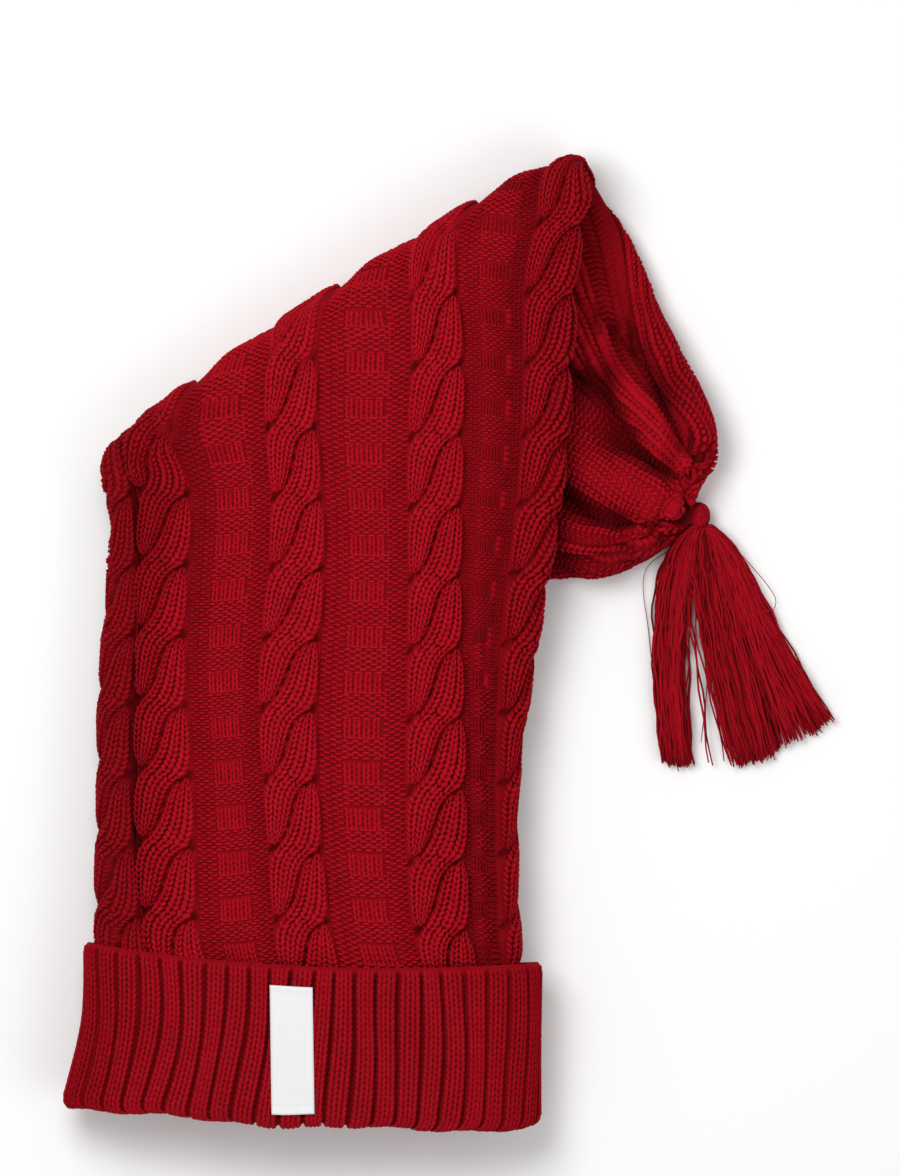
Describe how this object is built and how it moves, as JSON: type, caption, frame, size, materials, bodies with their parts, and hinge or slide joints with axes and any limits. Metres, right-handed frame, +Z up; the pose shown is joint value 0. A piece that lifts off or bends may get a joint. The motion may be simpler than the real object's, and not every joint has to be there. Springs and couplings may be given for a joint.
{
  "type": "knitted santa hat",
  "caption": "Long cable-knit santa hat lying flat: hollow crown folded back on a slant, turned-up ribbed cuff with a bare label, and a thread tassel at the tip.",
  "frame": {"origin": "on the floor, on the flattened underside of the crown, midway between its sides", "axes": "+X to the right of the hat's front, +Y from the mouth towards the fold, +Z up from the floor to the front of the hat"},
  "size_m": [0.3231, 0.4083, 0.0546],
  "materials": {
    "crown_knit": "matt cable knit",
    "cuff_rib": "matt rib knit",
    "label_weave": "smooth woven ribbon",
    "tassel_thread": "matt thread"
  },
  "bodies": {
    "root": {"crown": "crown_knit", "cuff": "cuff_rib", "label": "label_weave", "tassel": "tassel_thread"}
  },
  "joints": []
}
